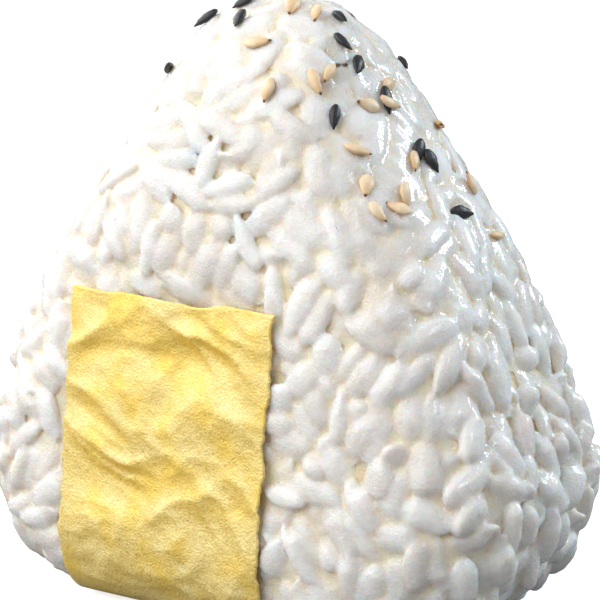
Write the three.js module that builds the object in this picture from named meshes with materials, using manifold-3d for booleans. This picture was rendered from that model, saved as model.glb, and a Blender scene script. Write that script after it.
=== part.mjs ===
// Onigiri: a hand-pressed triangular rice ball that stands on its base, with one strip of
// gold sheet laid up its front face, under its base and up its back.
// Millimetres, +Z up. The front face looks along -Y, and the origin is the middle of the base.
//
// The rice is one lumpy solid: a rounded triangle seen from the front, thickest at its foot,
// with grain-sized relief all over. The strip is a thin wrinkled shell that is let into the
// rice, so that both pieces stand on the plane z = 0.
import * as THREE from "three";
import { mergeVertices } from "three/addons/utils/BufferGeometryUtils.js";
import Module from "manifold-3d";

const wasm = await Module();
wasm.setup();

// Driving dimensions of the pressed triangle, in the XZ plane.
const baseWidth = 80; // across the two lower corners
const fullHeight = 80.8; // before the foot is flattened
const apexRadius = 15.3;
const cornerRadius = 18.5;
const sideBulge = 0.069; // how far the slanting sides swell, as a share of their distance
const centreHeight = 0.4 * fullHeight; // the point that every radius is measured from
const footFlat = 0.8; // how much of the foot is pressed flat by its own weight

// Driving dimensions across the thickness, along Y.
const thickness = 41.8; // at the height of the centre
const footSwell = 0.54; // share of the thickness gained from the centre down to the foot
const faceFlatness = 5.9; // exponent of the outline: high keeps the two faces flat
const sideSquareness = 3.9; // exponent across the lower sides: high keeps them square
const apexSquareness = 1.93; // the same at the apex, which is nearly round

// Grain-sized relief on the rice.
const sphereDetail = 17; // subdivisions of the icosahedron that the body is shaped from
const grainTries = 2600; // places tried for a grain
const grainSpacing = 4.6; // least distance between two grains
const grainLength = 7.6;
const grainWidth = 4.8;
const grainRelief = 1.7;
const reliefBelow = 1; // the relief starts this far under the nominal surface
const goldenShare = 0.618034; // spreads the grains' turns evenly

// The strip of gold sheet.
const stripWidth = 31;
const stripMiddle = -5; // X of its centre line
const stripTop = 43.1; // height of both of its ends
const stripThickness = 0.4;
const stripProud = 0.45; // its outer face stands this far off the nominal rice
const stripWrinkle = 0.28;
const stripColumns = 12;
const stripRows = 46;
const seatGap = 0.3; // clearance between the strip and the rice it is let into
const recessReach = 6; // how far the recess cutter reaches outwards
const sliverSize = 0.05; // edges shorter than this are closed up after the cut

const centre = new THREE.Vector3(0, 0, centreHeight - footFlat);

// Distance from the centre to the rounded triangle, for each of many directions in the XZ plane.
function outlineTable(steps) {
  const circles = [
    [0, fullHeight - apexRadius, apexRadius],
    [-(baseWidth / 2 - cornerRadius), cornerRadius, cornerRadius],
    [baseWidth / 2 - cornerRadius, cornerRadius, cornerRadius],
  ];
  const angles = Array.from({ length: steps }, (_, i) => (i * 2 * Math.PI) / steps);
  // How far the hull of the three circles reaches along each direction.
  const support = angles.map((a) =>
    Math.max(...circles.map(([x, z, r]) => x * Math.cos(a) + (z - centreHeight) * Math.sin(a) + r)),
  );
  const sideLobe = (a, middle) => Math.exp(-(((a - middle) / 0.45) ** 2));
  return angles.map((a) => {
    let radius = Infinity;
    angles.forEach((b, i) => {
      const c = Math.cos(b - a);
      if (c > 1e-3) radius = Math.min(radius, support[i] / c);
    });
    return radius * (1 + sideBulge * (sideLobe(a, Math.PI / 6) + sideLobe(a, (5 * Math.PI) / 6)));
  });
}

const outline = outlineTable(360);

function outlineRadius(angle) {
  const turn = ((angle / (2 * Math.PI)) % 1 + 1) % 1;
  const place = turn * outline.length;
  const i = Math.floor(place);
  return THREE.MathUtils.lerp(outline[i % outline.length], outline[(i + 1) % outline.length], place - i);
}

// Under 1 inside the nominal body, 1 on its surface, over 1 outside.
function bodyGauge(p) {
  const x = p.x;
  const z = p.z - centre.z;
  const angle = Math.atan2(z, x);
  const across = Math.hypot(x, z) / outlineRadius(angle);
  const towardsApex = Math.max(0, Math.sin(angle)) ** 2;
  const squareness = THREE.MathUtils.lerp(sideSquareness, apexSquareness, towardsApex);
  const swell = 1 + footSwell * (0.4 - (p.z + footFlat) / fullHeight);
  const deep = Math.abs(p.y) / ((thickness / 2) * swell);
  return across ** faceFlatness + deep ** squareness;
}

// The point of the nominal surface that a ray from an inner point meets.
function onBody(from, direction) {
  let near = 0;
  let far = 90;
  for (let i = 0; i < 40; i++) {
    const middle = (near + far) / 2;
    if (bodyGauge(from.clone().addScaledVector(direction, middle)) < 1) near = middle;
    else far = middle;
  }
  return from.clone().addScaledVector(direction, far);
}

// Repeatable scatter of grains over the nominal surface, each with a turn of its own. The
// directions are even over a sphere, and a grain too close to an earlier one is left out.
function grainBumps() {
  const goldenAngle = Math.PI * (3 - Math.sqrt(5));
  const bumps = [];
  for (let i = 0; i < grainTries; i++) {
    const up = 1 - (2 * (i + 0.5)) / grainTries;
    const flat = Math.sqrt(1 - up * up);
    const direction = new THREE.Vector3(flat * Math.cos(i * goldenAngle), up, flat * Math.sin(i * goldenAngle));
    const place = onBody(centre, direction);
    if (bumps.some((bump) => bump.place.distanceTo(place) < grainSpacing)) continue;
    const sideways = new THREE.Vector3(0.31, 0.92, 0.24).cross(direction).normalize();
    const along = sideways.applyAxisAngle(direction, ((i * goldenShare) % 1) * Math.PI);
    bumps.push({ place, along, side: along.clone().cross(direction) });
  }
  return bumps;
}

function reliefAt(p, bumps) {
  let height = 0;
  for (const { place, along, side } of bumps) {
    const offset = p.clone().sub(place);
    const a = (2 * offset.dot(along)) / grainLength;
    const b = (2 * offset.dot(side)) / grainWidth;
    height = Math.max(height, 1 - a * a - b * b);
  }
  return grainRelief * Math.sqrt(height) - reliefBelow;
}

function lumpyRice() {
  const sphere = new THREE.IcosahedronGeometry(1, sphereDetail);
  sphere.deleteAttribute("normal");
  sphere.deleteAttribute("uv");
  const body = mergeVertices(sphere);
  const position = body.attributes.position;
  const bumps = grainBumps();
  for (let i = 0; i < position.count; i++) {
    const direction = new THREE.Vector3().fromBufferAttribute(position, i).normalize();
    const p = onBody(centre, direction);
    p.addScaledVector(direction, reliefAt(p, bumps));
    p.z = Math.max(p.z, 0);
    position.setXYZ(i, p.x, p.y, p.z);
  }
  return body;
}

// One cross-section of the strip's outer face at x, from the front end round to the back end,
// evenly spaced along its length.
function stripSection(x, margin, rows) {
  const from = new THREE.Vector3(x, 0, centre.z);
  const endAngle = Math.atan2(stripTop + margin - centre.z, thickness / 2);
  const steps = 72;
  const points = Array.from({ length: steps + 1 }, (_, i) => {
    const a = THREE.MathUtils.lerp(-endAngle, Math.PI + endAngle, i / steps);
    const direction = new THREE.Vector3(0, -Math.cos(a), -Math.sin(a));
    const p = onBody(from, direction).addScaledVector(direction, stripProud);
    p.z = Math.max(p.z, 0);
    return p;
  });
  return new THREE.CatmullRomCurve3(points).getSpacedPoints(rows);
}

// Creases run mostly across the strip and die out where it is pressed under the foot.
function wrinkle(p) {
  const side = Math.sign(p.y) || 1;
  const long = Math.sin(0.52 * p.z + 0.13 * p.x * side) + Math.sin(1.05 * p.z - 0.21 * p.x + side);
  const cross = Math.sin(0.47 * p.x + 0.2 * p.z * side);
  return stripWrinkle * 0.4 * (long + cross) * THREE.MathUtils.smoothstep(p.z, 3, 10);
}

// The strip's outer face as rows of points, with the outward normal at each.
function stripFace(margin) {
  const half = stripWidth / 2 + margin;
  const columns = Array.from({ length: stripColumns + 1 }, (_, i) => {
    const x = THREE.MathUtils.lerp(stripMiddle - half, stripMiddle + half, i / stripColumns);
    return stripSection(x, margin, stripRows);
  });
  const normals = columns.map((column, i) =>
    column.map((_, j) => {
      const left = columns[Math.max(i - 1, 0)][j];
      const right = columns[Math.min(i + 1, stripColumns)][j];
      const before = column[Math.max(j - 1, 0)];
      const after = column[Math.min(j + 1, stripRows)];
      return after.clone().sub(before).cross(right.clone().sub(left)).normalize();
    }),
  );
  return { columns, normals };
}

// A closed shell between two offsets of the strip's face, measured along its normals.
function stripShell({ columns, normals }, outward, inward) {
  const grid = (offset) =>
    columns.map((column, i) =>
      column.map((p, j) => p.clone().addScaledVector(normals[i][j], offset + wrinkle(p))),
    );
  const layers = [grid(outward), grid(inward)];
  const rows = stripRows + 1;
  const across = stripColumns + 1;
  const id = (layer, i, j) => (layer * across + i) * rows + j;
  const faces = [];
  const quad = (a, b, c, d) => faces.push(a, b, c, a, c, d);
  for (let i = 0; i < stripColumns; i++)
    for (let j = 0; j < stripRows; j++) {
      quad(id(0, i, j), id(0, i, j + 1), id(0, i + 1, j + 1), id(0, i + 1, j));
      quad(id(1, i, j), id(1, i + 1, j), id(1, i + 1, j + 1), id(1, i, j + 1));
    }
  for (let j = 0; j < stripRows; j++) {
    quad(id(0, 0, j), id(1, 0, j), id(1, 0, j + 1), id(0, 0, j + 1));
    quad(id(0, stripColumns, j), id(0, stripColumns, j + 1), id(1, stripColumns, j + 1), id(1, stripColumns, j));
  }
  for (let i = 0; i < stripColumns; i++) {
    quad(id(0, i, 0), id(0, i + 1, 0), id(1, i + 1, 0), id(1, i, 0));
    quad(id(0, i, stripRows), id(1, i, stripRows), id(1, i + 1, stripRows), id(0, i + 1, stripRows));
  }
  const points = layers.flat(2).flatMap((p) => [p.x, p.y, p.z]);
  return new THREE.BufferGeometry()
    .setAttribute("position", new THREE.BufferAttribute(new Float32Array(points), 3))
    .setIndex(faces);
}

function toSolid(geometry) {
  const vertProperties = geometry.attributes.position.array;
  const triVerts = new Uint32Array(geometry.index.array);
  return new wasm.Manifold(new wasm.Mesh({ numProp: 3, vertProperties, triVerts }));
}

function toGeometry(solid) {
  const { vertProperties, triVerts } = solid.getMesh();
  return new THREE.BufferGeometry()
    .setAttribute("position", new THREE.BufferAttribute(vertProperties, 3))
    .setIndex(new THREE.BufferAttribute(triVerts, 1));
}

function namedMesh(name, geometry, color, roughness, metalness) {
  const mesh = new THREE.Mesh(geometry, new THREE.MeshStandardMaterial({ color, roughness, metalness }));
  mesh.name = name;
  return mesh;
}

const recess = stripShell(stripFace(seatGap), recessReach, -(stripThickness + seatGap));
const riceSolid = toSolid(lumpyRice()).subtract(toSolid(recess)).simplify(sliverSize);
const stripGeometry = stripShell(stripFace(0), 0, -stripThickness);

const onigiri = new THREE.Group();
onigiri.name = "onigiri";
onigiri.add(namedMesh("rice", toGeometry(riceSolid), 0xf2eee4, 0.4, 0));
onigiri.add(namedMesh("gold_strip", stripGeometry, 0xf0c95c, 0.45, 0.4));

// The relief is uneven, so the pieces are moved together until the origin is under the middle.
const box = new THREE.Box3().setFromObject(onigiri);
const middle = box.getCenter(new THREE.Vector3());
onigiri.position.set(-middle.x, -middle.y, 0);

export default onigiri;
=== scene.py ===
import math

import bpy
import numpy as np
from mathutils import Matrix, Vector, noise
from mathutils.bvhtree import BVHTree
from mathutils.kdtree import KDTree


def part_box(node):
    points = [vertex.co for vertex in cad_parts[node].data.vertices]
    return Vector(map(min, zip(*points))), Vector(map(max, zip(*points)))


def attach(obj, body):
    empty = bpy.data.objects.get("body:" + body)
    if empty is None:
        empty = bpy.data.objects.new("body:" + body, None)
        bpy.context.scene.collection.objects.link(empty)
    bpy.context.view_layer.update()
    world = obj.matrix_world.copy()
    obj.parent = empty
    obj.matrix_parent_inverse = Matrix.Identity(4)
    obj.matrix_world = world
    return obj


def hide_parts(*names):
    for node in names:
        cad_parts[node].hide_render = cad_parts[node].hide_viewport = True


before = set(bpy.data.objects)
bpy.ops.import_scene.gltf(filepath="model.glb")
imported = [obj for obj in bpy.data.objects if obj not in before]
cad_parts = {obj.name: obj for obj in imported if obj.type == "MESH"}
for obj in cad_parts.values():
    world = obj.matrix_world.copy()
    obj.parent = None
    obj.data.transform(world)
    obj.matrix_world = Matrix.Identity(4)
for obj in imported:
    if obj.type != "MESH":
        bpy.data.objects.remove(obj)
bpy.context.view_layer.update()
mm = 0.001
noise.seed_set(5)  # without a seed the vector noise differs from run to run
bpy.ops.object.select_all(action="DESELECT")


# small helpers

def selectOnly(obj):
    bpy.ops.object.select_all(action="DESELECT")
    obj.select_set(True)
    bpy.context.view_layer.objects.active = obj


def editMode(obj):
    selectOnly(obj)
    bpy.ops.object.mode_set(mode="EDIT")


def objectMode():
    bpy.ops.object.mode_set(mode="OBJECT")


def selectVertices(obj, wanted):
    # selects the vertices that pass a test on their place, and goes to edit mode
    editMode(obj)
    bpy.ops.mesh.select_mode(type="VERT")
    bpy.ops.mesh.select_all(action="DESELECT")
    objectMode()
    for v in obj.data.vertices:
        v.select = wanted(v.co)
    editMode(obj)


def selectFaces(obj, wanted):
    # the same for faces, with the whole face handed to the test
    editMode(obj)
    bpy.ops.mesh.select_mode(type="FACE")
    bpy.ops.mesh.select_all(action="DESELECT")
    objectMode()
    for face in obj.data.polygons:
        face.select = wanted(face)
    editMode(obj)


def applyModifier(obj, kind, **settings):
    selectOnly(obj)
    modifier = obj.modifiers.new(kind.title(), kind)
    for key, value in settings.items():
        setattr(modifier, key, value)
    bpy.ops.object.modifier_apply(modifier=modifier.name)


def linkedCopy(obj, name):
    copy = obj.copy()
    copy.data = obj.data.copy()
    copy.name = name
    copy.parent = None
    bpy.context.collection.objects.link(copy)
    return copy


def weldedCopy(nodeName, name):
    # a working copy of a CAD node, with its loose triangles welded
    copy = linkedCopy(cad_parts[nodeName], name)
    editMode(copy)
    bpy.ops.mesh.select_all(action="SELECT")
    bpy.ops.mesh.remove_doubles(threshold=0.001 * mm)
    objectMode()
    copy.data.materials.clear()
    return copy


def places(mesh):
    out = np.empty(len(mesh.vertices) * 3)
    mesh.vertices.foreach_get("co", out)
    return out.reshape(-1, 3)


def vertexNormals(mesh):
    out = np.empty(len(mesh.vertices) * 3)
    mesh.vertex_normals.foreach_get("vector", out)
    return out.reshape(-1, 3)


def movePlaces(mesh, co):
    mesh.vertices.foreach_set("co", co.ravel())
    mesh.update()


def treeOf(obj):
    return BVHTree.FromPolygons(places(obj.data).tolist(), [p.vertices for p in obj.data.polygons])


def setAttribute(obj, name, values):
    layer = obj.data.attributes.new(name, "FLOAT", "POINT")
    layer.data.foreach_set("value", np.asarray(values, dtype=np.float32))


def smoothStep(x, low, high):
    t = np.clip((x - low) / (high - low), 0, 1)
    return t * t * (3 - 2 * t)


def unit(v):
    return v / (np.linalg.norm(v, axis=-1, keepdims=True) + 1e-12)


def joinedCopies(name, copies):
    # one mesh of many copies, each given as template, turn, size and place. With it go, for each
    # vertex, the number of its copy and its place in the template
    parts, faces, owner, local, offset = [], [], [], [], 0
    for index, (template, turn, size, place) in enumerate(copies):
        own = places(template.data)
        parts.append(own * size @ np.array(turn).T + place)
        faces += [[offset + v for v in p.vertices] for p in template.data.polygons]
        owner.append(np.full(len(own), index))
        local.append(own)
        offset += len(own)
    mesh = bpy.data.meshes.new(name)
    mesh.from_pydata(np.concatenate(parts).tolist(), [], faces)
    obj = bpy.data.objects.new(name, mesh)
    bpy.context.collection.objects.link(obj)
    return obj, np.concatenate(owner), np.concatenate(local)


# the guide skin is the CAD rice with its relief smoothed away. The core lies under it

print("guide skin and core")
guide = {
    "voxel": 1.6 * mm,
    "smoothing": 8,
    "coreDepth": 2.7 * mm,
}
skin = weldedCopy("rice", "skin")
applyModifier(skin, "REMESH", mode="VOXEL", voxel_size=guide["voxel"])
applyModifier(skin, "SMOOTH", factor=0.5, iterations=guide["smoothing"])
skinTree = treeOf(skin)
skinNormals = vertexNormals(skin.data)
faceNormals = unit(skinNormals[np.array([p.vertices[:] for p in skin.data.polygons])].mean(axis=1))

core = linkedCopy(skin, "core")
applyModifier(core, "DISPLACE", strength=-guide["coreDepth"], mid_level=0)
applyModifier(core, "SMOOTH", factor=0.5, iterations=guide["smoothing"])


def depthAt(place):
    # how far a place lies under the skin, and the skin's smooth outward normal there
    hit, normal, face, gap = skinTree.find_nearest(place)
    inside = (hit - Vector(place)).dot(normal) > 0
    return (gap if inside else -gap), faceNormals[face]


def lyingSphere(name, segments, rings):
    # a sphere one metre across with its poles along X
    bpy.ops.mesh.primitive_uv_sphere_add(segments=segments, ring_count=rings, radius=0.5)
    sphere = bpy.context.object
    sphere.name = name
    sphere.rotation_euler = (0, math.pi / 2, 0)
    bpy.ops.object.transform_apply(rotation=True)
    return sphere


# one cooked grain of each kind, lying along X with its flatter side up

grainKinds = {
    "plump": {"length": 7.8, "width": 4.1, "flat": 0.72, "bend": 8, "notch": 0.4, "share": 0.3},
    "long": {"length": 8.8, "width": 3.7, "flat": 0.76, "bend": 14, "notch": 0.35, "share": 0.22},
    "bent": {"length": 8.4, "width": 3.8, "flat": 0.76, "bend": 38, "notch": 0.3, "share": 0.16},
    "fat": {"length": 7.2, "width": 4.5, "flat": 0.68, "bend": 0, "notch": 0.6, "share": 0.16},
    "slim": {"length": 7.8, "width": 3.3, "flat": 0.8, "bend": -20, "notch": 0.2, "share": 0.1},
    "broken": {"length": 5.2, "width": 3.9, "flat": 0.76, "bend": 4, "notch": 0.1, "share": 0.06},
}


def modelGrain(name, kind):
    length, width = kind["length"] * mm, kind["width"] * mm
    grain = lyingSphere("grain_" + name, 10, 8)
    editMode(grain)
    bpy.ops.mesh.select_all(action="SELECT")
    bpy.ops.transform.resize(value=(length, width, width * kind["flat"]))
    objectMode()
    selectVertices(grain, lambda co: abs(co.x) > 0.27 * length)  # blunt ends
    bpy.ops.transform.resize(value=(1, 1.05, 1.1))
    objectMode()
    selectVertices(grain, lambda co: co.x > 0.3 * length and co.z > 0.1 * width)  # where the germ was
    bpy.ops.transform.translate(value=(-0.06 * length, 0, -kind["notch"] * mm))
    objectMode()
    if kind["bend"]:
        bend = math.radians(kind["bend"])
        applyModifier(grain, "SIMPLE_DEFORM", deform_method="BEND", deform_axis="Z", angle=bend)
    return grain


print("grains")
grains = {name: modelGrain(name, kind) for name, kind in grainKinds.items()}


# packing: every grain is a soft rod. The outer ones lie in the skin, the others fill in below

packing = {
    "seed": 11,
    "outer": 700,  # at most; fewer where no more fit
    "inner": 950,
    "spacing": 3.8 * mm,  # least distance of outer grains at the start
    "candidates": 9000,  # places tried for them
    "steps": 40,
    "reach": 9 * mm,  # two grains with their middles further apart are left alone
    "shallowest": 1.8 * mm,  # how far under the skin the inner grains lie
    "deepest": 3.5 * mm,
    "proud": 0.35 * mm,  # how far a grain may stand out of the skin
    "proudSides": 1.1 * mm,  # the same low on the two narrow sides, where they are looser
    "proudStrip": -0.6 * mm,  # and under the gold strip
    "rodShare": 0.9,  # a rod's radius as a share of half the grain's width
    "softness": 0.88,  # share of their size at which two grains stop each other
    "push": 0.3,  # share of an overlap that each of the two gives way in one step
    "return": 0.5,  # share of the way back to its level that an end goes in one step
    "sunk": 0.8,  # least depth of an end, as a share of the rod's radius
    "slopeLay": 1.3,  # how strongly grains on the sides lie down the slope
    "tilt": 0.4 * mm,  # how unevenly the two ends of a grain lie
    "tiltSides": 1.15 * mm,
    "looseBelow": 25 * mm,  # the narrow sides are loosest under this height
    "firmAbove": 60 * mm,  # and as firm as the rest over this one
    "sizeSpread": 0.07,
    "sizeLimits": (0.84, 1.16),
}


stripLow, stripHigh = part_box("gold_strip")


def underStrip(place, spare=1.5 * mm):
    x, z = place[..., 0], place[..., 2]
    return (x > stripLow.x - spare) & (x < stripHigh.x + spare) & (z < stripHigh.z + spare)


def closestShares(a0, a1, b0, b1):
    # where along each of two rods they come closest, as shares of their lengths
    u, v, w = a1 - a0, b1 - b0, a0 - b0
    a, b, c = (u * u).sum(1), (u * v).sum(1), (v * v).sum(1)
    d, e = (u * w).sum(1), (v * w).sum(1)
    s = np.clip((b * e - c * d) / np.maximum(a * c - b * b, 1e-18), 0, 1)
    t = np.clip((b * s + e) / c, 0, 1)
    s = np.clip((b * t - d) / a, 0, 1)
    return s[:, None], t[:, None]


def scatterOnSkin(rng, count):
    mesh = skin.data
    mesh.calc_loop_triangles()
    corners = places(mesh)[np.array([t.vertices[:] for t in mesh.loop_triangles])]
    cross = np.cross(corners[:, 1] - corners[:, 0], corners[:, 2] - corners[:, 0])
    area = np.linalg.norm(cross, axis=1)
    chosen = rng.choice(len(area), count, p=area / area.sum())
    shares = rng.dirichlet((1, 1, 1), count)
    return (corners[chosen] * shares[:, :, None]).sum(axis=1), unit(cross[chosen])


def closePairs(centres, reach):
    tree = KDTree(len(centres))
    for i, c in enumerate(centres):
        tree.insert(c, i)
    tree.balance()
    found = [(i, j) for i, c in enumerate(centres) for _, j, _ in tree.find_range(c, reach) if j > i]
    return np.array(found).T


def spacedOut(spots, spacing, count):
    kept = []
    for k, spot in enumerate(spots):
        if len(kept) < count and (not kept or np.linalg.norm(spots[kept] - spot, axis=1).min() > spacing):
            kept.append(k)
    return kept


def packGrains(rng):
    surface, normal = scatterOnSkin(rng, packing["candidates"])
    first = spacedOut(surface, packing["spacing"], packing["outer"])
    rest = [k for k in range(len(surface)) if k not in set(first)][:packing["inner"]]
    surface, normal = surface[first + rest], normal[first + rest]
    count, outer = len(surface), np.arange(len(surface)) < len(first)

    names = list(grainKinds)
    share = np.array([grainKinds[n]["share"] for n in names])
    kind = rng.choice(len(names), count, p=share / share.sum())
    size = rng.normal(1, packing["sizeSpread"], count).clip(*packing["sizeLimits"])
    length = np.array([grainKinds[n]["length"] for n in names])[kind] * mm * size
    width = np.array([grainKinds[n]["width"] for n in names])[kind] * mm * size
    radius, rod = width / 2 * packing["rodShare"], length - width

    # each grain lies along the skin, and on the sides rather down the slope
    along = unit(np.cross(normal, rng.normal(size=normal.shape)))
    down = unit(normal * normal[:, 2:3] - np.array([0, 0, 1.0]))
    facing = np.sign((along * down).sum(axis=1, keepdims=True))
    onSide = np.maximum(normal[:, 0] ** 2, 0.5 * smoothStep(surface[:, 0], 6 * mm, 24 * mm))
    along = unit(along + down * facing * onSide[:, None] * packing["slopeLay"])
    firm = smoothStep(surface[:, 2], packing["looseBelow"], packing["firmAbove"])
    looser = np.abs(normal[:, 0]) ** 2 * (1 - firm)
    # the depth that each end wants, and the least that it may have
    proud = packing["proud"] + (packing["proudSides"] - packing["proud"]) * looser
    proud[underStrip(surface)] = packing["proudStrip"]
    tilt = packing["tilt"] + (packing["tiltSides"] - packing["tilt"]) * looser
    level = radius[:, None] - proud[:, None] + rng.normal(size=(count, 2)) * tilt[:, None]
    least = radius * packing["sunk"] - proud
    inner = rng.uniform(packing["shallowest"], packing["deepest"], count)
    centre = surface - normal * np.where(outer, radius, inner)[:, None]
    half = along * rod[:, None] / 2
    ends = np.stack([centre - half, centre + half], axis=1)

    for step in range(packing["steps"]):
        if step % 5 == 0:
            i, j = closePairs(ends.mean(axis=1), packing["reach"])
        s, t = closestShares(ends[i, 0], ends[i, 1], ends[j, 0], ends[j, 1])
        gap = ends[i, 0] * (1 - s) + ends[i, 1] * s - ends[j, 0] * (1 - t) - ends[j, 1] * t
        apart = np.linalg.norm(gap, axis=1)[:, None] + 1e-9
        squeeze = np.clip((radius[i] + radius[j])[:, None] * packing["softness"] - apart, 0, None)
        push = gap / apart * squeeze * packing["push"]
        np.add.at(ends[:, 0], i, push * (1 - s))
        np.add.at(ends[:, 1], i, push * s)
        np.add.at(ends[:, 0], j, -push * (1 - t))
        np.add.at(ends[:, 1], j, -push * t)
        for k in range(count):
            for end in (0, 1):
                depth, outward = depthAt(ends[k, end])
                if outer[k]:
                    wanted = max(depth + (level[k, end] - depth) * packing["return"], least[k])
                else:
                    wanted = min(max(depth, packing["shallowest"]), packing["deepest"])
                ends[k, end] += outward * (depth - wanted)
        middle = ends.mean(axis=1)
        half = unit(ends[:, 1] - ends[:, 0]) * rod[:, None] / 2
        ends = np.stack([middle - half, middle + half], axis=1)
    print("  ", outer.sum(), "outer grains,", count, "in all")
    return ends, [names[k] for k in kind], size


print("packing")
rng = np.random.default_rng(packing["seed"])
rods, rodKinds, rodSizes = packGrains(rng)
rodMiddles = rods.mean(axis=1)
rodOutward = np.array([depthAt(c)[1] for c in rodMiddles])


def laidGrain(k):
    # the copy of a grain that lies along rod k, turned a little about its own length
    along = Vector(rods[k, 1] - rods[k, 0]).normalized() * (1 if rng.random() < 0.5 else -1)
    side = Vector(rodOutward[k]).cross(along).normalized()
    turn = Matrix((along, side, along.cross(side))).transposed()
    turn = turn @ Matrix.Rotation(rng.normal(0, 0.5), 3, "X")
    return grains[rodKinds[k]], turn, rodSizes[k], rodMiddles[k]


laid = [laidGrain(k) for k in range(len(rods))]
grainTone = rng.random(len(rods))


# the strip of gold sheet: the outer face of its CAD shell, made finer and creased

print("gold sheet")
goldSheet = {
    "thickness": 0.25 * mm,
    "crease": 0.75 * mm,  # depth of the long soft creases
    "crinkle": 0.1 * mm,  # depth of the small crinkles between them
    "ragged": 0.5 * mm,  # how far its side edges wander
    "raggedTop": 0.9 * mm,  # and its two top edges
    "clearance": 0.15 * mm,  # between its inner face and the rice
}


def ridge(p, x, y, z):
    # sharp crests between soft hollows, for a noise of this many waves per millimetre
    return 0.5 - 2.6 * abs(noise.noise(Vector((p.x * x, p.y * y, p.z * z))))


def creaseHeight(p):
    # p in millimetres; creases run across the strip, some of them on the slant
    slant = p + noise.noise_vector(p * 0.09) * 5 + Vector((0, 0, p.x * 0.25))
    folds = ridge(slant, 0.06, 0.1, 0.11) + 0.35 * ridge(slant + Vector((40, 0, 9)), 0.14, 0.2, 0.26)
    crinkle = noise.fractal(Vector((p.x * 0.4, p.y * 0.4, p.z * 0.5)), 0.8, 2, 3)
    return folds, crinkle


def awayFromInside(place):
    return Vector((0, place.y, place.z - stripHigh.z)).normalized()


def makeSheet():
    sheet = weldedCopy("gold_strip", "gold_sheet")
    selectFaces(sheet, lambda face: face.normal.dot(awayFromInside(face.center)) < 0.25)
    bpy.ops.mesh.delete(type="FACE")  # the inner face and the rim
    bpy.ops.mesh.select_all(action="SELECT")
    bpy.ops.mesh.tris_convert_to_quads()
    bpy.ops.mesh.select_mode(type="VERT")
    objectMode()
    applyModifier(sheet, "SUBSURF", levels=3, render_levels=3, boundary_smooth="PRESERVE_CORNERS")
    co, normal = places(sheet.data), vertexNormals(sheet.data)
    folds = np.array([creaseHeight(Vector(c) / mm) for c in co])
    lift = goldSheet["crease"] * folds[:, 0] + goldSheet["crinkle"] * folds[:, 1]
    free = smoothStep(co[:, 2], 1 * mm, 9 * mm)  # pressed flat under the foot
    middle, half = (stripLow.x + stripHigh.x) / 2, (stripHigh.x - stripLow.x) / 2
    edge = smoothStep(np.abs(co[:, 0] - middle) / half, 0.7, 1)
    lift = (lift * free * (1 - 0.6 * edge))[:, None]
    co += normal * lift + np.array([0, 0, -0.5]) * lift  # the creases sag
    sides = np.column_stack((np.copysign(5, co[:, 0] - middle), co[:, 1] * 300, co[:, 2] * 240))
    wander = np.array([noise.fractal(Vector(side), 0.6, 2, 4) for side in sides])
    co[:, 0] += wander * goldSheet["ragged"] * edge * free
    topEdge = smoothStep(co[:, 2], stripHigh.z - 5 * mm, stripHigh.z)
    rise = np.array([noise.noise(Vector((c[0] * 150, c[1] * 30, 3))) for c in co])
    co[:, 2] += rise * topEdge * goldSheet["raggedTop"]
    co[:, 2] = co[:, 2].clip(0)
    movePlaces(sheet.data, co)
    # painted highlight and painted shade: the crease value grows where the creases face up, and a little
    # with their height, so the gold is coloured palest there and ochre where they face down
    setAttribute(sheet, "crease", (vertexNormals(sheet.data) - normal)[:, 2] * 1.6 + lift[:, 0] / mm * 0.3)
    return sheet


sheet = makeSheet()
sheetTree = treeOf(sheet)


def underSheet(co):
    # presses rice that would come through the sheet back under it, and softly so beside it
    reach, gap, soft = 3 * mm, goldSheet["thickness"] + goldSheet["clearance"], 1.4 * mm
    for k in np.flatnonzero(underStrip(co, soft)):
        hit, normal, face, apart = sheetTree.find_nearest(co[k], reach)
        if hit is None:
            continue
        over = (Vector(co[k]) - hit).dot(normal)
        sideways = (Vector(co[k]) - hit - normal * over).length
        if over > -gap and sideways < soft:
            co[k] -= np.array(normal) * (over + gap) * (1 - (sideways / soft) ** 2) ** 2
    return co


def onGround(co):
    co[:, 2] = co[:, 2].clip(0)
    return co


# the rice: all the grains run together with the core

fused = {
    "voxel": 0.28 * mm,
    "melt": 1,  # rounds of smoothing where grains have run together
    "triangles": 190000,
    "warp": 0.42 * mm,  # how unevenly the grains are squashed
    "relief": 0.43,  # share of the grains' relief left after pressing, high on the ball
    "reliefLow": 0.72,  # the same near the foot
    "reliefSides": 1.1,  # and low on the two narrow sides
    "level": 0.25 * mm,  # depth to which the hand presses the grains
    "lowBelow": 20 * mm,  # heights between which the low values give way to the high one
    "highAbove": 66 * mm,
    "gapDepth": 1 * mm,  # gaps deeper than this are mostly filled
    "gapFill": 0.8,
}


def pressedFlat(co):
    # squeezes the relief towards one level; gives the new places and the depths before
    before, after = np.empty(len(co)), co.copy()
    for k, place in enumerate(co):
        before[k], outward = depthAt(place)
        low = 1 - smoothStep(place[2], fused["lowBelow"], fused["highAbove"])
        keep = fused["relief"] + (fused["reliefLow"] - fused["relief"]) * low
        keep += (fused["reliefSides"] - fused["reliefLow"]) * low * min(1, 1.3 * outward[0] ** 2)
        wanted = fused["level"] + (before[k] - fused["level"]) * keep
        wanted -= max(0, wanted - fused["gapDepth"]) * fused["gapFill"]
        after[k] += outward * (before[k] - wanted)
    return after, before


def localHollow(mesh, depth, rounds=40):
    # how much deeper each vertex lies than the surface around it
    ends = np.array([e.vertices[:] for e in mesh.edges])
    links = np.bincount(ends.ravel(), minlength=len(depth))
    level = depth.copy()
    for _ in range(rounds):
        total = np.bincount(ends[:, 0], level[ends[:, 1]], len(depth))
        total += np.bincount(ends[:, 1], level[ends[:, 0]], len(depth))
        level = 0.5 * level + 0.5 * total / links
    return depth - level


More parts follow.
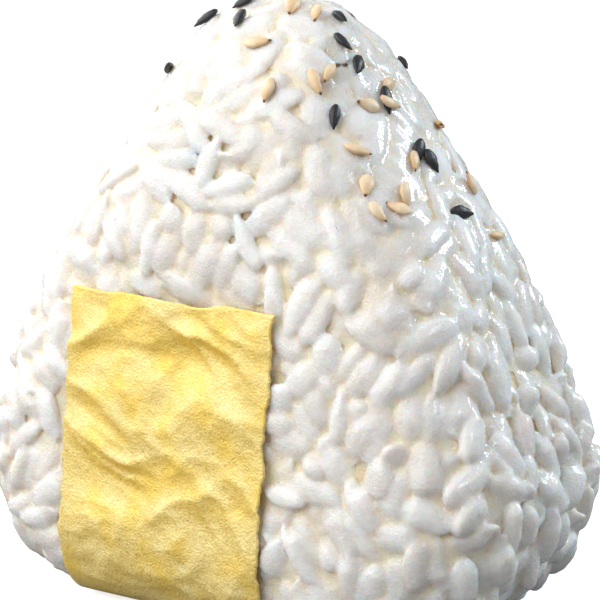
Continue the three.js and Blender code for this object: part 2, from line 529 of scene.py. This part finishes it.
def fuseGrains():
    piece, owner, _ = joinedCopies("pressed_rice", laid)
    co = places(piece.data)
    warp = np.array([noise.noise_vector(Vector(c) * 330) for c in co])
    movePlaces(piece.data, co + warp * fused["warp"])
    grainTree = treeOf(piece)
    faceOwner = np.array([owner[p.vertices[0]] for p in piece.data.polygons])
    selectOnly(piece)
    core.select_set(True)
    bpy.ops.object.join()
    applyModifier(piece, "REMESH", mode="VOXEL", voxel_size=fused["voxel"])
    applyModifier(piece, "SMOOTH", factor=0.5, iterations=fused["melt"])
    print("  ", len(piece.data.polygons), "quads before thinning")
    ratio = fused["triangles"] / (2 * len(piece.data.polygons))
    applyModifier(piece, "DECIMATE", ratio=min(1, ratio))
    piece.data.validate()
    co = places(piece.data)
    setAttribute(piece, "tone", [grainTone[faceOwner[grainTree.find_nearest(c)[2]]] for c in co])
    co, depth = pressedFlat(co)
    movePlaces(piece.data, underSheet(onGround(co)))
    bpy.ops.object.shade_smooth()
    setAttribute(piece, "deep", depth / mm)
    setAttribute(piece, "hollow", localHollow(piece.data, depth) / mm)
    return piece


print("rice")
rice = fuseGrains()
riceTree = treeOf(rice)


# sesame seeds

seedLength, seedThick = 3.5 * mm, 1.05 * mm
seedKinds = {
    "round": {"width": 2.05, "bend": 0, "share": 0.45},
    "slim": {"width": 1.6, "bend": 10, "share": 0.3},
    "bean": {"width": 1.9, "bend": 35, "share": 0.25},
}
# place on the rice in millimetres, then the pointed end's turn from straight up the slope
seedSpots = {
    "black": [
        (-9, -6, 77, 185), (-4, -4, 79, 200), (-2, -8, 77, 155), (9, -2, 77, 215), (11, -5, 74, 175),
        (14, -5, 72, 225), (14, -11, 66, 195), (16, -3, 67, 190), (21, -2, 61, 220), (22, -1, 60, 170),
        (26, 0, 54, 105), (-12, -9, 70, 80), (4, 9, 76, 30), (-6, 10, 72, 120), (12, 8, 70, 250),
        (-13, 4, 69, 300), (2, 13, 68, 200),
    ],
    "white": [
        (4, -5, 79, 200), (7, -4, 78, 200), (2, -10, 74, 90), (6, -14, 69, 185), (12, -9, 71, 230),
        (11, -11, 70, 155), (16, -6, 67, 290), (16, -1, 69, 85), (17, -3, 67, 110), (17, -11, 62, 120),
        (19, -12, 58, 195), (21, -4, 60, 220), (21, -13, 55, 155), (23, -11, 56, 310), (23, -9, 57, 190),
        (24, 5, 56, 345), (28, 6, 50, 105), (-8, 8, 74, 40), (7, 11, 71, 160), (17, 7, 62, 260),
        (-2, 14, 66, 330), (-16, 2, 64, 10), (9, 15, 59, 75),
    ],
}


def modelSeed(name, kind):
    seed = lyingSphere("seed_" + name, 12, 10)
    editMode(seed)
    bpy.ops.mesh.select_all(action="SELECT")
    bpy.ops.transform.resize(value=(seedLength, kind["width"] * mm, seedThick))
    objectMode()
    selectVertices(seed, lambda co: co.x > 0.12 * seedLength)  # drawn in towards the pointed end
    bpy.ops.transform.resize(value=(1.12, 0.8, 0.85), center_override=(0.12 * seedLength, 0, 0))
    objectMode()
    selectVertices(seed, lambda co: co.x > 0.34 * seedLength)
    bpy.ops.transform.resize(value=(1.2, 0.62, 0.7), center_override=(0.34 * seedLength, 0, 0))
    objectMode()
    selectVertices(seed, lambda co: abs(co.y) < 0.2 * mm and co.z > 0.3 * mm)  # a faint keel
    bpy.ops.transform.translate(value=(0, 0, 0.08 * mm))
    objectMode()
    if kind["bend"]:
        bend = math.radians(kind["bend"])
        applyModifier(seed, "SIMPLE_DEFORM", deform_method="BEND", deform_axis="Z", angle=bend)
    return seed


def onRice(place):
    hit, normal, face, gap = riceTree.find_nearest(place)
    outward = Vector(depthAt(place)[1])
    hit, normal, face, gap = riceTree.ray_cast(hit + outward * 4 * mm, -outward, 8 * mm)
    return hit, (normal + outward * 1.5).normalized()


def seedTurn(outward, turn):
    # lies flat on the rice, its pointed end turned so many degrees from straight up the slope
    upSlope = (Vector((0, 0, 1)) - outward * outward.z).normalized()
    along = Matrix.Rotation(-math.radians(turn), 3, outward) @ upSlope
    flat = Matrix((along, outward.cross(along), outward)).transposed()
    roll = Matrix.Rotation(rng.normal(0, 0.35), 3, "X")
    rock = Matrix.Rotation(rng.normal(0, 0.15), 3, "Y")
    return flat @ roll @ rock


def scatterSeeds(color):
    seeds = [modelSeed(name, kind) for name, kind in seedKinds.items()]
    share = [kind["share"] for kind in seedKinds.values()]
    copies = []
    for x, y, z, turn in seedSpots[color]:
        hit, outward = onRice(Vector((x, y, z)) * mm)
        seed = seeds[rng.choice(len(seeds), p=share)]
        size = rng.uniform(0.88, 1.05)
        copies.append((seed, seedTurn(outward, turn), size, hit + outward * seedThick * 0.38))
    piece, owner, local = joinedCopies(color + "_sesame", copies)
    selectOnly(piece)
    bpy.ops.object.shade_smooth()
    setAttribute(piece, "tone", rng.random(len(copies))[owner])
    setAttribute(piece, "tip", local[:, 0] / seedLength + 0.5)
    # under grows towards the side against the rice, where it carries painted shade
    setAttribute(piece, "under", 0.5 - local[:, 2] / seedThick)
    for seed in seeds:
        bpy.data.objects.remove(seed)
    return piece


print("sesame")
blackSesame = scatterSeeds("black")
whiteSesame = scatterSeeds("white")

applyModifier(sheet, "SOLIDIFY", thickness=goldSheet["thickness"], offset=-1)
bpy.ops.object.shade_smooth()
for obj in [skin, *grains.values()]:
    bpy.data.objects.remove(obj)


# materials

def makeGroup(name, inputs):
    # an empty shader group with number inputs and one mask as its output
    group = bpy.data.node_groups.new(name, "ShaderNodeTree")
    for label, value in inputs.items():
        socket = group.interface.new_socket(label, in_out="INPUT", socket_type="NodeSocketFloat")
        socket.default_value = value
    group.interface.new_socket("Mask", in_out="OUTPUT", socket_type="NodeSocketFloat")
    return group, group.nodes.new("NodeGroupInput"), group.nodes.new("NodeGroupOutput")


def addNode(tree, kind, **settings):
    node = tree.nodes.new("ShaderNode" + kind)
    for key, value in settings.items():
        setattr(node, key, value)
    return node


def unevenGroup():
    # soft noise on the object's own coordinates, with its contrast set by Low and High
    group, inside, outside = makeGroup("uneven", {"Scale": 300, "Detail": 2, "Low": 0.35, "High": 0.65})
    coordinates = addNode(group, "TexCoord")
    pattern = addNode(group, "TexNoise")
    limits = addNode(group, "MapRange", interpolation_type="SMOOTHSTEP")
    group.links.new(coordinates.outputs["Object"], pattern.inputs["Vector"])
    group.links.new(inside.outputs["Scale"], pattern.inputs["Scale"])
    group.links.new(inside.outputs["Detail"], pattern.inputs["Detail"])
    group.links.new(pattern.outputs["Fac"], limits.inputs["Value"])
    group.links.new(inside.outputs["Low"], limits.inputs["From Min"])
    group.links.new(inside.outputs["High"], limits.inputs["From Max"])
    group.links.new(limits.outputs["Result"], outside.inputs["Mask"])
    return group


uneven = unevenGroup()


class Material:
    # a material under construction: its tree, its shader and short ways to add nodes
    def __init__(self, name):
        self.made = bpy.data.materials.new(name)
        self.made.use_nodes = True
        self.tree = self.made.node_tree
        self.shader = self.tree.nodes["Principled BSDF"]

    def link(self, source, target):
        self.tree.links.new(source, target)

    def set(self, **values):
        for label, value in values.items():
            self.shader.inputs[label.replace("_", " ")].default_value = value

    def attribute(self, name):
        return addNode(self.tree, "Attribute", attribute_name=name).outputs["Fac"]

    def uneven(self, scale, detail=2, low=0.35, high=0.65):
        node = addNode(self.tree, "Group", node_tree=uneven)
        for label, value in {"Scale": scale, "Detail": detail, "Low": low, "High": high}.items():
            node.inputs[label].default_value = value
        return node.outputs["Mask"]

    def mapRange(self, source, low, high, toLow=0, toHigh=1):
        node = addNode(self.tree, "MapRange")
        self.link(source, node.inputs["Value"])
        for label, value in {"From Min": low, "From Max": high, "To Min": toLow, "To Max": toHigh}.items():
            node.inputs[label].default_value = value
        return node.outputs["Result"]

    def maths(self, operation, a, b):
        node = addNode(self.tree, "Math", operation=operation)
        for value, socket in ((a, node.inputs[0]), (b, node.inputs[1])):
            if isinstance(value, (int, float)):
                socket.default_value = value
            else:
                self.link(value, socket)
        return node.outputs[0]

    def mix(self, mask, a, b):
        node = addNode(self.tree, "Mix", data_type="RGBA")
        for value, socket in ((mask, node.inputs[0]), (a, node.inputs[6]), (b, node.inputs[7])):
            if isinstance(value, (int, float)):
                socket.default_value = value
            elif isinstance(value, tuple):
                socket.default_value = (*value, 1)
            else:
                self.link(value, socket)
        return node.outputs[2]

    def bump(self, height, distance, strength=1, under=None):
        node = addNode(self.tree, "Bump")
        node.inputs["Distance"].default_value = distance
        node.inputs["Strength"].default_value = strength
        self.link(height, node.inputs["Height"])
        if under is not None:
            self.link(under, node.inputs["Normal"])
        return node.outputs["Normal"]


riceLook = {
    # each pair is a clear grain's colour and a milky one's; the flank pair is partly painted shade
    "crest": ((0.85, 0.825, 0.80), (0.95, 0.95, 0.955)),
    "flank": ((0.80, 0.75, 0.69), (0.88, 0.865, 0.84)),
    # seam, gap and hole are painted shade: warmer, darker colours laid into the gaps between grains
    "paintedSeamShade": (0.98, 0.86, 0.69),
    "gap": (0.97, 0.81, 0.59),
    "paintedHoleShade": (0.96, 0.74, 0.44),
    "glow": 0.85,
    "glowDepth": 1.5 * mm,
    "dryCoat": 0.1,
}


def riceMaterial():
    cooked = Material("cooked rice")
    deep, hollow, tone = cooked.attribute("deep"), cooked.attribute("hollow"), cooked.attribute("tone")
    milky = cooked.maths("ADD", tone, cooked.mapRange(cooked.uneven(330, 3), 0, 1, -0.35, 0.35))
    crest = cooked.mix(milky, *riceLook["crest"])
    flank = cooked.mix(milky, *riceLook["flank"])
    # partly painted shade: from the crest colour on top to the darker flank colour down into local hollows,
    # which also stands for a grain's clearer rim
    body = cooked.mix(cooked.mapRange(hollow, -0.5, 0.2), crest, flank)
    # painted shade: the colour warms and darkens into the gaps, by local hollowness and by depth under the
    # skin
    between = cooked.maths("MAXIMUM", cooked.mapRange(deep, 0.6, 1.6), cooked.mapRange(hollow, 0.05, 0.55))
    paintedSeamShade = cooked.mix(between, body, riceLook["paintedSeamShade"])
    gap = cooked.mix(cooked.mapRange(deep, 1.5, 2.6), paintedSeamShade, riceLook["gap"])
    paintedHoleShade = cooked.mix(cooked.mapRange(deep, 2.6, 3.3), gap, riceLook["paintedHoleShade"])
    cooked.link(paintedHoleShade, cooked.shader.inputs["Base Color"])
    cooked.set(Subsurface_Weight=riceLook["glow"], Subsurface_Scale=riceLook["glowDepth"])
    cooked.set(Subsurface_Radius=(1.0, 0.65, 0.4), Specular_IOR_Level=0.35, Coat_Roughness=0.07, IOR=1.4)
    # a wet film in patches, broken into sparkles
    wet = cooked.uneven(220, 3, 0.31, 0.48)
    sparkle = cooked.maths("MULTIPLY", wet, cooked.uneven(2600, 3, 0.43, 0.52))
    cooked.link(cooked.mapRange(sparkle, 0, 1, riceLook["dryCoat"], 1), cooked.shader.inputs["Coat Weight"])
    rough = cooked.mapRange(cooked.uneven(900, 2), 0, 1, 0.38, 0.6)
    cooked.link(rough, cooked.shader.inputs["Roughness"])
    lumps = cooked.bump(cooked.uneven(500, 2, 0.2, 0.8), 0.15 * mm, 0.5)
    film = cooked.bump(cooked.uneven(1500, 3, 0.3, 0.7), 0.06 * mm, 0.5, lumps)
    drops = cooked.maths("MULTIPLY", wet, cooked.uneven(3600, 2, 0.3, 0.7))
    cooked.link(cooked.bump(drops, 0.06 * mm, 0.8, film), cooked.shader.inputs["Normal"])
    return cooked.made


goldLook = {
    # hollow is painted shade where creases face down, crest painted highlight where they face up
    "hollow": (1.0, 0.69, 0.1),
    "crest": (1.0, 0.98, 0.57),
    "patch": (1.0, 0.75, 0.17),
    "powder": (0.98, 0.55, 0.08),
    "metal": 0.12,  # between the bright flakes
}


def goldMaterial():
    gold = Material("gold sheet")
    crease = gold.attribute("crease")
    # painted light: ochre where the creases face down, pale yellow where they face up
    soft = gold.mix(gold.mapRange(crease, -1, 0.9), goldLook["hollow"], goldLook["crest"])
    patches = gold.mix(gold.uneven(180, 3, 0.4, 0.7), soft, goldLook["patch"])
    powder = gold.uneven(3600, 1, 0.32, 0.68)
    grainy = gold.mix(gold.mapRange(powder, 0, 1, 0.45, 0), patches, goldLook["powder"])
    gold.link(grainy, gold.shader.inputs["Base Color"])
    gold.set(Specular_IOR_Level=0.4)
    flakes = gold.uneven(5200, 1, 0.56, 0.62)
    gold.link(gold.mapRange(flakes, 0, 1, goldLook["metal"], 1), gold.shader.inputs["Metallic"])
    gold.link(gold.mapRange(powder, 0, 1, 0.42, 0.6), gold.shader.inputs["Roughness"])
    fine = gold.bump(gold.uneven(700, 3, 0.2, 0.8), 0.1 * mm, 0.5)
    gold.link(gold.bump(powder, 0.06 * mm, 0.6, fine), gold.shader.inputs["Normal"])
    return gold.made


seedLook = {
    # from one seed's colour to another's, the colour of streaks and of the painted shade on undersides, and
    # the tip's
    "black": {
        "coat": ((0.018, 0.02, 0.026), (0.04, 0.042, 0.05)),
        "shade": (0.012, 0.012, 0.014),
        "tip": (0.008, 0.007, 0.007),
        "roughness": 0.36,
    },
    "white": {
        "coat": ((0.90, 0.68, 0.43), (0.96, 0.80, 0.60)),
        "shade": (0.72, 0.42, 0.17),
        "tip": (0.10, 0.04, 0.015),
        "roughness": 0.38,
    },
}


def seedMaterial(color):
    seed, look = Material(color + " sesame"), seedLook[color]
    coat = seed.mix(seed.attribute("tone"), *look["coat"])
    streaked = seed.mix(seed.mapRange(seed.uneven(900, 4, 0.35, 0.75), 0, 1, 0, 0.4), coat, look["shade"])
    # painted shade: the side against the rice darkens towards the shade colour
    shaded = seed.mix(seed.mapRange(seed.attribute("under"), 0.35, 0.8), streaked, look["shade"])
    ripe = seed.mix(seed.mapRange(seed.attribute("tip"), 0.5, 0.95, 0, 0.6), shaded, look["shade"])
    pointed = seed.mix(seed.mapRange(seed.attribute("tip"), 0.93, 1.02), ripe, look["tip"])
    seed.link(pointed, seed.shader.inputs["Base Color"])
    seed.set(Roughness=look["roughness"])
    seed.link(seed.bump(seed.uneven(3200, 2, 0.3, 0.7), 0.04 * mm, 0.6), seed.shader.inputs["Normal"])
    return seed.made


def finishPiece(piece, material, slot, *nodes):
    piece.data.materials.clear()
    piece.data.materials.append(material)
    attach(piece, "root")
    if nodes:
        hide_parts(*nodes)


print("materials")
finishPiece(rice, riceMaterial(), "rice", "rice")
finishPiece(sheet, goldMaterial(), "gold_sheet", "gold_strip")
finishPiece(blackSesame, seedMaterial("black"), "black_sesame")
finishPiece(whiteSesame, seedMaterial("white"), "white_sesame")


# floor, light and camera

print("stage")
stage = {
    "azimuth": 32.04,
    "elevation": 12.75,
    "distance": 281.2 * mm,
    "aside": 1.72 * mm,
    "aimHeight": 39.2 * mm,
    "lens": 127.5,
    "worldLight": 0.31,
    "floorSize": 6,
    "floorShown": 0.92,  # how pale the camera sees the floor
    "floorGlow": 0.72,
    "floorBounce": 0.2,  # what it gives back; keeps the foot of the ball darker than its top
}
# direction as azimuth and elevation, then metres, watts and colour
lights = {
    "key": {"way": (-30, 38), "distance": 0.46, "size": 0.62, "power": 2.75, "color": (1, 0.975, 0.935)},
    "fill": {"way": (-100, 26), "distance": 0.6, "size": 0.5, "power": 2.3, "color": (1, 1, 1)},
    "window": {"way": (80, 34), "distance": 0.6, "size": 0.14, "power": 0.33, "color": (0.88, 0.95, 1)},
    "rim": {"way": (138, 30), "distance": 0.5, "size": 0.17, "power": 1.3, "color": (0.82, 0.93, 1)},
}


def awayFrom(azimuth, elevation):
    # unit vector from the object; azimuth 0 is the front, 90 the right-hand side
    a, e = math.radians(azimuth), math.radians(elevation)
    return Vector((math.sin(a) * math.cos(e), -math.cos(a) * math.cos(e), math.sin(e)))


def makeFloor():
    bpy.ops.mesh.primitive_plane_add(size=stage["floorSize"], location=(0, 0, -0.02 * mm))
    floor = bpy.context.object
    floor.name = "floor"
    pale = Material("pale floor")
    pale.set(Roughness=0.9, Emission_Color=(1, 1, 1, 1))
    seen = addNode(pale.tree, "LightPath").outputs["Is Camera Ray"]
    bounce, shown = (stage["floorBounce"],) * 3, (stage["floorShown"],) * 3
    pale.link(pale.mix(seen, bounce, shown), pale.shader.inputs["Base Color"])
    pale.link(pale.mapRange(seen, 0, 1, 0, stage["floorGlow"]), pale.shader.inputs["Emission Strength"])
    floor.data.materials.append(pale.made)


def makeCamera():
    back = awayFrom(stage["azimuth"], stage["elevation"])
    aside = awayFrom(stage["azimuth"] + 90, 0) * stage["aside"]
    aim = aside + Vector((0, 0, stage["aimHeight"]))
    bpy.ops.object.camera_add(location=aim + back * stage["distance"])
    camera = bpy.context.object
    camera.rotation_mode = "QUATERNION"
    camera.rotation_quaternion = (-back).to_track_quat("-Z", "Y")
    camera.data.lens = stage["lens"]
    camera.data.sensor_width = 36
    camera.data.clip_start = 0.01
    bpy.context.scene.camera = camera


def softLight(name, look):
    away = awayFrom(*look["way"])
    place = away * look["distance"] + Vector((0, 0, stage["aimHeight"]))
    bpy.ops.object.light_add(type="AREA", location=place)
    light = bpy.context.object
    light.name = name
    light.rotation_mode = "QUATERNION"
    light.rotation_quaternion = away.to_track_quat("Z", "Y")
    light.data.size = look["size"]
    light.data.energy = look["power"]
    light.data.color = look["color"]


def makeWorld():
    world = bpy.data.worlds.new("studio")
    bpy.context.scene.world = world
    world.use_nodes = True
    tree = world.node_tree
    background = tree.nodes["Background"]
    background.inputs["Color"].default_value = (0.94, 0.975, 1, 1)
    seen = addNode(tree, "LightPath").outputs["Is Camera Ray"]
    strength = addNode(tree, "MapRange")
    strength.inputs["To Min"].default_value = stage["worldLight"]
    strength.inputs["To Max"].default_value = 1
    tree.links.new(seen, strength.inputs["Value"])
    tree.links.new(strength.outputs["Result"], background.inputs["Strength"])


makeFloor()
makeCamera()
for name, look in lights.items():
    softLight(name, look)
makeWorld()
bpy.context.scene.view_settings.view_transform = "Standard"
